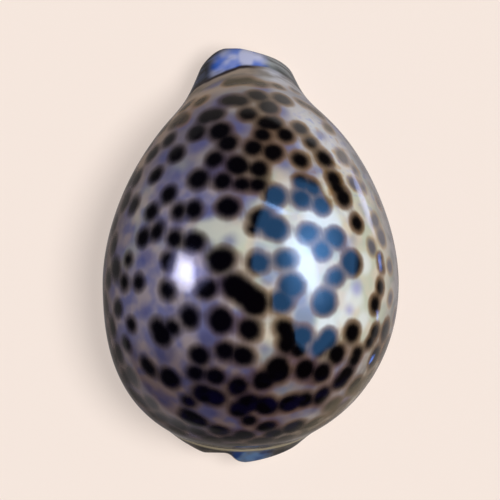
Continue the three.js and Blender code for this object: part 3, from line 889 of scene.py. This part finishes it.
# Where each studio card is mirrored in the shell, in mm seen from above. An outline is x, y; a line is x, y,
# half width and glow.
WINDOW = [
    (3.4, 13.6), (8.1, 15.1), (13.3, 14.4), (15.3, 10.3), (18.3, 5.3), (21.0, -0.2), (19.7, -6.3),
    (17.2, -12.4), (17.0, -16.6), (11.7, -20.4), (8.4, -17.4), (7.8, -11.9), (3.9, -11.0), (3.8, -5.2),
    (-0.2, -2.5), (0.3, 4.7), (1.7, 9.2),
]  # fmt: skip
LAMP = [
    (-13.6, 1.4), (-11.0, 0.2), (-9.6, -2.6), (-9.8, -5.8), (-11.4, -8.0), (-13.8, -7.0), (-15.4, -4.4),
    (-14.8, -1.2),
]  # fmt: skip
RIM_BARS = [
    [(24.2, 0.5), (24.9, 0.7), (25.3, -1.2), (25.3, -3.2), (24.7, -3.2), (24.4, -1.2)],
    [(23.4, -19.2), (23.9, -19.0), (23.6, -20.0), (22.9, -20.8), (22.5, -20.9), (23.0, -20.1)],
    [(24.2, -10.6), (24.7, -10.6), (24.8, -12.0), (24.3, -13.0), (24.0, -12.8), (24.3, -11.8)],
]
STREAK = [
    (6.9, 4.6, 1.6, 0.0), (7.9, 3.0, 2.1, 0.5), (9.0, 1.4, 2.3, 0.85), (9.9, -0.6, 2.2, 1.0),
    (10.7, -2.6, 2.0, 1.0), (11.4, -4.6, 1.7, 0.85), (12.2, -7.0, 1.3, 0.35), (12.8, -9.4, 0.9, 0.0),
]  # fmt: skip
BAR = [
    (1.2, 10.6, 0.3, 0.0), (3.2, 9.9, 0.5, 0.6), (5.6, 8.9, 0.8, 1.0), (7.2, 8.3, 0.5, 0.4),
    (8.4, 7.9, 0.3, 0.0),
]  # fmt: skip
RIM_LINE = [
    (18.6, 18.0, 0.3, 0.0), (20.3, 13.5, 0.5, 0.8), (21.6, 9.8, 0.7, 1.0), (22.7, 6.4, 0.6, 0.8),
    (24.0, 2.5, 0.4, 0.0),
]  # fmt: skip
# How a ribbon's glow fades from one side to the other: the place across it, and the share of the glow.
RIBBON_ACROSS = [(-1.0, 0.0), (-0.55, 0.8), (0.0, 1.0), (0.75, 0.95), (1.0, 0.0)]

FLOOR_HALF = 3.0  # metres
SUN = dict(energy=2.58, angle=23, elevation=72)  # W/m2, then degrees
CAMERA = dict(x=-0.0001, y=0.00106, height=1.4)  # metres
WIDEST_LEVEL = 0.0135  # height of the shell's widest outline, in metres
FRAME_WIDTH = 0.09634  # width of the picture at that height, in metres
SENSOR = 36  # mm


def ellipse(x, y, half_width, half_length, count=16):
    turns = [2 * math.pi * k / count for k in range(count)]
    return [(x + half_width * math.cos(a), y + half_length * math.sin(a)) for a in turns]


def mirrored_place(surface, x, y, distance):
    """The place that the camera sees mirrored in the shell at x, y, that far from it."""
    p, n = on_top(*surface, x, y)
    towards = 2 * n[2] * n - np.array([0, 0, 1])
    return p * M_PER_MM + towards * distance


def finish_card(card, fade, colour, strength):
    set_attribute(card, "fade", fade)
    card.data.materials.append(glow_material(card.name, colour, strength))
    card.visible_camera = card.visible_diffuse = card.visible_shadow = False
    card.visible_transmission = False


def add_card(name, surface, outline, colour, strength, soft, distance=NEAR_CARD):
    """A glowing card that only reflections show, mirrored with that outline; its outer share, soft, fades."""
    outline = np.array(outline)
    middle = outline.mean(0)
    count = len(outline)
    corners = [middle, *(middle + (outline - middle) * (1 - soft)), *outline]
    fade = [1.0] * (1 + count) + [0.0] * count
    following = [(k + 1) % count for k in range(count)]
    faces = [(0, 1 + k, 1 + j) for k, j in enumerate(following)]
    faces += [(1 + k, 1 + count + k, 1 + count + j, 1 + j) for k, j in enumerate(following)]
    places = [mirrored_place(surface, x, y, distance) for x, y in corners]
    finish_card(new_object(name, places, faces), fade, colour, strength)


def add_ribbon(name, surface, line, colour, strength):
    """A glowing band that only reflections show, along that line and soft on both sides."""
    places, fade = [], []
    line = np.array(line)
    along = np.gradient(line[:, :2], axis=0)
    along /= np.linalg.norm(along, axis=1, keepdims=True)
    for (x, y, half, glow), (dx, dy) in zip(line, along):
        for side, share in RIBBON_ACROSS:
            places.append(mirrored_place(surface, x - dy * side * half, y + dx * side * half, NEAR_CARD))
            fade.append(glow * share)
    wide = len(RIBBON_ACROSS)
    starts = [row * wide + k for row in range(len(line) - 1) for k in range(wide - 1)]
    card = new_object(name, places, [(c, c + 1, c + 1 + wide, c + wide) for c in starts])
    card.data.shade_smooth()
    finish_card(card, fade, colour, strength)


def build_cards(surface):
    """The window and its streak on the right of the back, glints by the right margin, a lamp on the left."""
    glow_shape = ellipse(11.7, -0.3, 6.5, 12.2)
    lamp_glow_shape = ellipse(-12.0, -3.2, 4.6, 5.2)
    add_card("window_card", surface, WINDOW, (0.13, 0.43, 1.0, 1), 2.7, 0.09, FAR_CARD)
    add_card("glow_card", surface, glow_shape, (0.17, 0.45, 1.0, 1), 9.0, 1.0, MIDDLE_CARD)
    add_ribbon("streak_card", surface, STREAK, (0.42, 0.64, 1.0, 1), 5.4)
    add_ribbon("rim_line_card", surface, RIM_LINE, (0.4, 0.5, 1.0, 1), 4.0)
    add_ribbon("bar_card", surface, BAR, (0.25, 0.5, 1.0, 1), 14.0)
    for k, outline in enumerate(RIM_BARS):
        add_card(f"rim_card_{k}", surface, outline, (0.14, 0.3, 1.0, 1), 5.0, 0.7)
    add_card("lamp_glow_card", surface, lamp_glow_shape, (0.5, 0.5, 1.0, 1), 9.0, 1.0, FAR_CARD)
    add_card("lamp_card", surface, LAMP, (0.8, 0.8, 1.0, 1), 22.0, 0.7)


def build_floor():
    half = FLOOR_HALF
    corners = [(-half, -half, 0), (half, -half, 0), (half, half, 0), (-half, half, 0)]
    floor = new_object("floor", corners, [(0, 1, 2, 3)])
    floor.data.materials.append(floor_material())
    floor.visible_glossy = False


def room_reflection(n):
    """How bright the room is in the shell, by direction: a pale table low down, and dim walls above it."""
    towards = n.add("ShaderNodeSeparateXYZ", {0: n.add("ShaderNodeTexCoord").outputs["Generated"]}).outputs
    x, y, z = towards["X"], towards["Y"], towards["Z"]
    table_edge = n.ramp(y, 0.35, 0.95, -0.54, -0.1)
    table = n.ramp(n.math("SUBTRACT", z, table_edge), 0.06, -0.06)
    light = n.times(n.ramp(x, -0.5, 0.6, 0.12, 0.42), n.ramp(y, -0.5, 0.1, 0.3, 1.0))
    light = n.math("ADD", light, n.ramp(n.times(x, y), 0.08, 0.32, 0.0, 0.4))
    low = n.scaled_and(y, 0.4, n.math("SUBTRACT", 0.6, z))
    walls = n.ramp(low, 0.0, 1.0, 0.004, 0.03)
    return n.scaled_and(table, light, walls)


def build_world():
    """A soft fill, a dark room that only reflections show, and a plain backdrop."""
    world = bpy.data.worlds.new("studio")
    bpy.context.scene.world = world
    world.use_nodes = True
    world.node_tree.nodes.clear()
    n = Nodes(world.node_tree)
    ray = n.add("ShaderNodeLightPath").outputs
    fill = n.add("ShaderNodeBackground", {"Color": (1, 0.985, 0.97, 1), "Strength": 0.18})
    room = n.add("ShaderNodeBackground", {"Color": (1.0, 0.93, 0.92, 1), "Strength": room_reflection(n)})
    backdrop = n.add("ShaderNodeBackground", {"Color": linear(246, 232, 223), "Strength": 1.0})
    mixed = {0: ray["Is Glossy Ray"], 1: fill.outputs[0], 2: room.outputs[0]}
    lit = n.add("ShaderNodeMixShader", mixed)
    seen = {0: ray["Is Camera Ray"], 1: lit.outputs[0], 2: backdrop.outputs[0]}
    n.add("ShaderNodeOutputWorld", {0: n.add("ShaderNodeMixShader", seen).outputs[0]})


def build_sun():
    light = bpy.data.lights.new("key", "SUN")
    light.energy = SUN["energy"]
    light.angle = math.radians(SUN["angle"])
    light.color = (1.0, 0.99, 0.97)
    sun = bpy.data.objects.new("key", light)
    bpy.context.scene.collection.objects.link(sun)
    sun.rotation_euler = (0, math.radians(90 - SUN["elevation"]), 0)
    sun.visible_glossy = False


def build_camera():
    """Straight above the shell."""
    data = bpy.data.cameras.new("camera")
    camera = bpy.data.objects.new("camera", data)
    bpy.context.scene.collection.objects.link(camera)
    data.sensor_width = SENSOR
    data.lens = SENSOR * (CAMERA["height"] - WIDEST_LEVEL) / FRAME_WIDTH
    data.clip_end = 20
    camera.location = (CAMERA["x"], CAMERA["y"], CAMERA["height"])
    bpy.context.scene.camera = camera


# ---------------------------------------------------------------- the scene
shell, surface = build_shell()
shell.data.materials.append(shell_material())
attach(shell, "root")
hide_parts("shell")

build_floor()
build_world()
build_sun()
build_camera()
build_cards(surface)
bpy.context.scene.view_settings.view_transform = "Standard"
